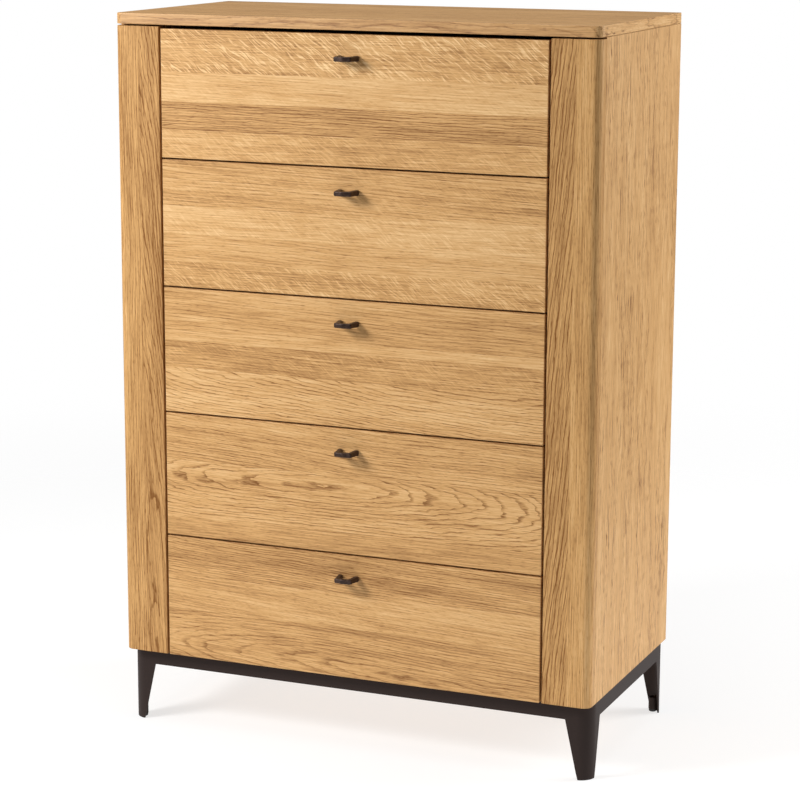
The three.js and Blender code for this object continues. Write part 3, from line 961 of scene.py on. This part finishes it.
def shape_pull():
    """One leg is drawn out, turned into the bar and drawn back as the other leg."""
    low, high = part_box("drawer_1_handle")
    back, reach = high.y, high.y - low.y
    half = (high.x - low.x) / 2
    end_reach = reach - PULL_BOW
    leg_low = (-half, back - end_reach + PULL_BAR, low.z)
    leg_high = (PULL_LEG - half, back, high.z)
    pull = block("drawer_1_pull", leg_low, leg_high)
    open_mesh(pull, "FACE")
    mesh = bmesh.from_edit_mesh(pull.data)
    for vertex in mesh.verts:
        if vertex.co.y < back - PULL_BAR:
            vertex.co.x += PULL_TAPER
    bmesh.update_edit_mesh(pull.data)
    bpy.ops.object.mode_set(mode="OBJECT")
    choose_faces(pull, lambda middle, normal: normal.y < -0.9)
    bpy.ops.mesh.extrude_region_move(TRANSFORM_OT_translate={"value": (0, -PULL_BAR, 0)})
    bpy.ops.object.mode_set(mode="OBJECT")
    bar_back = back - end_reach + PULL_BAR
    choose_faces(pull, lambda middle, normal: normal.x > 0.9 and middle.y < bar_back - PULL_BAR / 4)
    inner = half - PULL_TAPER - PULL_LEG
    step = 2 * inner / PULL_STEPS

    def bow(x):
        return -PULL_BOW * (1 - (x / inner) ** 2)

    for number in range(PULL_STEPS):
        start = -inner + number * step
        shift = (step, bow(start + step) - bow(start), 0)
        bpy.ops.mesh.extrude_region_move(TRANSFORM_OT_translate={"value": shift})
    bpy.ops.mesh.extrude_region_move(TRANSFORM_OT_translate={"value": (PULL_LEG, 0, 0)})
    bpy.ops.object.mode_set(mode="OBJECT")
    choose_faces(
        pull, lambda middle, normal: normal.y > 0.9 and middle.x > inner and middle.y < back - PULL_BAR
    )
    bpy.ops.mesh.extrude_region_move(
        TRANSFORM_OT_translate={"value": (PULL_TAPER, end_reach - PULL_BAR, 0)}
    )
    bpy.ops.object.mode_set(mode="OBJECT")
    choose_faces(pull, lambda middle, normal: True)
    bpy.ops.mesh.normals_make_consistent(inside=False)
    bpy.ops.object.mode_set(mode="OBJECT")
    outer_end = half - PULL_TAPER
    front_y = back - end_reach

    def outer_corner(a, b):
        return upright(a, b) and is_near(a.y, front_y) and is_near(abs(a.x), outer_end)

    round_edges(pull, outer_corner, PULL_CORNER, 5)
    middle = (low.z + high.z) / 2
    for vertex in open_mesh(pull, "VERT").verts:
        towards_bar = min((back - vertex.co.y) / (end_reach - PULL_BAR), 1)
        vertex.co.z = middle + (vertex.co.z - middle) * (1 - (1 - PULL_THINNING) * towards_bar)
    bmesh.update_edit_mesh(pull.data)
    bpy.ops.object.mode_set(mode="OBJECT")
    ease(pull, PULL_ARRIS, 4, 50)
    return pull


def make_drawers():
    bronze, zinc = bronzed_casting(), zinc_plate("zinc_plated_bolt")
    front, pull = shape_front(), shape_pull()
    for number in DRAWERS:
        body = f"drawer_{number}"
        offset = front_offset(number)
        own_front = front if number == 1 else twin(front, f"{body}_front_oak", offset)
        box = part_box(f"{body}_front")
        timber = oak(f"oak_{body}_front", box, X, Z, FRONT_STAVES[number])
        fit_out(own_front, timber, body, "solid_oak", f"{body}_front")
        own_pull = pull if number == 1 else twin(pull, f"{body}_pull", offset)
        fit_out(own_pull, bronze, body, "handle_metal", f"{body}_handle")
        make_box(body)
        make_bolts(body, zinc)


def make_box(body):
    boards = {"back": (X, Y), "floor": (X, Z), "left_side": (Y, X), "right_side": (Y, X)}
    for board, (grain, thickness) in boards.items():
        node = f"{body}_{board}"
        arris = FLOOR_ARRIS if board == "floor" else PLY_ARRIS
        piece = fine_copy(node, f"{node}_ply", arris, 2)
        fit_out(piece, plywood(f"birch_ply_{node}", grain, thickness), body, "drawer_ply", node)


def make_bolts(body, zinc):
    """The two bolts that hold the pull, with their heads on the inner face of the front."""
    low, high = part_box(f"{body}_handle")
    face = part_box(f"{body}_front")[1].y
    spacing = (high.x - low.x - PULL_LEG) / 2
    seats = [Vector((x, face, (low.z + high.z) / 2)) for x in (-spacing, spacing)]
    bolts = screw_set(f"{body}_pull_bolts", seats, Y, 1, BOLT_HEAD, BOLT_HEAD_HEIGHT)
    fit_out(bolts, zinc, body, "zinc_steel")


# ---------------------------------------------------------------------------
# Runners
# ---------------------------------------------------------------------------


def runner_screws(name, node, sign):
    """Three heads on the inside of a channel's web. The web is on the side that sign points to."""
    low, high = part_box(node)
    web = (high.x if sign > 0 else low.x) - sign * RUNNER_SHEET
    places = evenly(low.y + RUNNER_SCREW_INSET, high.y - RUNNER_SCREW_INSET, 3)
    seats = [Vector((web, y, (low.z + high.z) / 2)) for y in places]
    return screw_set(name, seats, X, -sign)


def shape_cage(side, sign):
    """The sheet strip with its two rows of balls, which stays near the front end of the rail."""
    rail_low, rail_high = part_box(f"{side}_rail_1")
    slide_low, slide_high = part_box(f"drawer_1_{side}_slide")
    space = ((rail_high.z - slide_high.z) - RUNNER_SHEET) / 2
    row_height = (slide_high.z - slide_low.z) / 2 + space
    centre_z = (rail_low.z + rail_high.z) / 2
    web = (rail_high.x if sign > 0 else rail_low.x) - sign * (RUNNER_SHEET + CAGE_GAP)
    mouth = (rail_low.x if sign > 0 else rail_high.x) + sign * CAGE_GAP
    start = rail_low.y + CAGE_START
    half_height = row_height + CAGE_SHEET / 2
    cage = block(
        f"{side}_ball_cage_1",
        (min(web, mouth), start, centre_z - half_height),
        (max(web, mouth), start + CAGE_LENGTH, centre_z + half_height),
    )
    choose_faces(cage, lambda middle, normal: abs(normal.y) > 0.9 or normal.x * sign < -0.9)
    bpy.ops.mesh.delete(type="FACE")
    bpy.ops.object.mode_set(mode="OBJECT")
    sheet = cage.modifiers.new("sheet", "SOLIDIFY")
    sheet.thickness = CAGE_SHEET
    sheet.offset = -1
    apply_modifier(cage, sheet)
    ease(cage, CAGE_SHEET * 0.2, 1)
    balls = []
    for row in (-1, 1):
        for place in evenly(start + 2 * BALL_RADIUS, start + CAGE_LENGTH - 2 * BALL_RADIUS, BALLS_IN_ROW):
            clear_selection()
            bpy.ops.mesh.primitive_uv_sphere_add(
                segments=10,
                ring_count=6,
                radius=BALL_RADIUS,
                location=((web + mouth) / 2, place, centre_z + row * row_height),
            )
            ball = bpy.context.object
            settle(ball)
            bpy.ops.object.shade_smooth()
            balls.append(ball)
    return join_pieces(f"{side}_ball_cage_1", [cage] + balls)


def make_runners():
    zinc, screw_zinc = zinc_plate(), zinc_plate("yellow_zinc_screw", (204, 180, 118))
    bright = zinc_plate("bright_ball_steel", (200, 202, 206))
    for side, sign in SIDES.items():
        rail_screws = runner_screws(f"{side}_rail_1_screws", f"{side}_rail_1", sign)
        slide_screws = runner_screws(f"drawer_1_{side}_slide_screws", f"drawer_1_{side}_slide", -sign)
        cage = shape_cage(side, sign)
        for number in DRAWERS:
            body = f"drawer_{number}"
            names = (
                f"{side}_rail_{number}_screws",
                f"{body}_{side}_slide_screws",
                f"{side}_ball_cage_{number}",
            )
            pieces = [rail_screws, slide_screws, cage]
            if number > 1:
                pieces = [twin(piece, name, front_offset(number)) for piece, name in zip(pieces, names)]
            fit_out(pieces[0], screw_zinc, "chest", "zinc_steel")
            fit_out(pieces[1], screw_zinc, body, "zinc_steel")
            fit_out(pieces[2], bright, "chest", "zinc_steel")
            for node, rider in ((f"{side}_rail_{number}", "chest"), (f"{body}_{side}_slide", body)):
                piece = fine_copy(node, f"{node}_steel", RUNNER_ARRIS, 2)
                fit_out(piece, zinc, rider, "zinc_steel", node)


# ---------------------------------------------------------------------------
# Studio
# ---------------------------------------------------------------------------

CAMERA_PLACE = (1.766, -4.217, 1.551)
CAMERA_YAW = 22.615
CAMERA_PITCH = -11.71
CAMERA_ROLL = 0.206
CAMERA_LENS = 115.6


def make_camera():
    data = bpy.data.cameras.new("camera")
    data.sensor_width = 36
    data.lens = CAMERA_LENS
    camera = bpy.data.objects.new("camera", data)
    bpy.context.scene.collection.objects.link(camera)
    turn = (
        Matrix.Rotation(math.radians(CAMERA_YAW), 4, "Z")
        @ Matrix.Rotation(math.radians(90 + CAMERA_PITCH), 4, "X")
        @ Matrix.Rotation(math.radians(CAMERA_ROLL), 4, "Z")
    )
    camera.matrix_world = Matrix.Translation(CAMERA_PLACE) @ turn
    bpy.context.scene.camera = camera


def softbox(name, azimuth, elevation, distance, size, power):
    """A square soft light aimed at the middle of the chest. Azimuth 0 is in front, 90 at its right."""
    data = bpy.data.lights.new(name, "AREA")
    data.shape = "SQUARE"
    data.size = size
    data.energy = power
    light = bpy.data.objects.new(name, data)
    bpy.context.scene.collection.objects.link(light)
    a, e = math.radians(azimuth), math.radians(elevation)
    away = Vector((math.sin(a) * math.cos(e), -math.cos(a) * math.cos(e), math.sin(e)))
    light.location = Vector((0, 0, 0.65)) + away * distance
    light.rotation_mode = "QUATERNION"
    light.rotation_quaternion = away.to_track_quat("Z", "Y")


def make_studio():
    softbox("key_light", -42, 28, 3.3, 1.0, 92)
    softbox("side_light", 120, 22, 4.4, 2.2, 142)
    softbox("top_light", 10, 80, 4.0, 2.4, 46)
    world = bpy.data.worlds.new("studio")
    bpy.context.scene.world = world
    world.use_nodes = True
    tree = world.node_tree
    backdrop = tree.nodes["Background"]
    backdrop.inputs["Color"].default_value = (1, 1, 1, 1)
    rays = tree.nodes.new("ShaderNodeLightPath")
    strength = tree.nodes.new("ShaderNodeMapRange")
    strength.inputs["To Min"].default_value = 0.14
    strength.inputs["To Max"].default_value = 1.0
    tree.links.new(rays.outputs["Is Camera Ray"], strength.inputs["Value"])
    tree.links.new(strength.outputs[0], backdrop.inputs["Strength"])
    bpy.context.scene.view_settings.view_transform = "Standard"


def make_floor():
    """A pale round floor that fades out into the white backdrop."""
    clear_selection()
    bpy.ops.mesh.primitive_circle_add(vertices=96, radius=7, fill_type="NGON", location=(0, 0, -0.5 * MM))
    floor = bpy.context.object
    floor.name = "studio_floor"
    settle(floor)
    material = bpy.data.materials.new("pale_floor")
    material.use_nodes = True
    tree = material.node_tree
    shader = tree.nodes["Principled BSDF"]
    shader.inputs["Base Color"].default_value = (0.35, 0.35, 0.35, 1)
    shader.inputs["Roughness"].default_value = 0.9
    shader.inputs["Specular IOR Level"].default_value = 0.1
    shader.inputs["Emission Color"].default_value = (1, 1, 1, 1)
    shader.inputs["Emission Strength"].default_value = 0.72
    place = tree.nodes.new("ShaderNodeTexCoord")
    reach = tree.nodes.new("ShaderNodeVectorMath")
    reach.operation = "LENGTH"
    fade = tree.nodes.new("ShaderNodeMapRange")
    fade.interpolation_type = "SMOOTHSTEP"
    for name, value in (("From Min", 1.0), ("From Max", 3.2), ("To Min", 1.0), ("To Max", 0.0)):
        fade.inputs[name].default_value = value
    side = tree.nodes.new("ShaderNodeNewGeometry")
    seen_from_above = tree.nodes.new("ShaderNodeMath")
    seen_from_above.operation = "SUBTRACT"
    seen_from_above.use_clamp = True
    tree.links.new(place.outputs["Object"], reach.inputs[0])
    tree.links.new(reach.outputs["Value"], fade.inputs["Value"])
    tree.links.new(fade.outputs[0], seen_from_above.inputs[0])
    tree.links.new(side.outputs["Backfacing"], seen_from_above.inputs[1])
    tree.links.new(seen_from_above.outputs[0], shader.inputs["Alpha"])
    floor.data.materials.append(material)


make_top()
for side_name, side_sign in SIDES.items():
    make_post(side_name, side_sign)
make_case_boards()
make_back()
make_base()
make_frame_screws()
make_feet()
make_drawers()
make_runners()
make_camera()
make_studio()
make_floor()
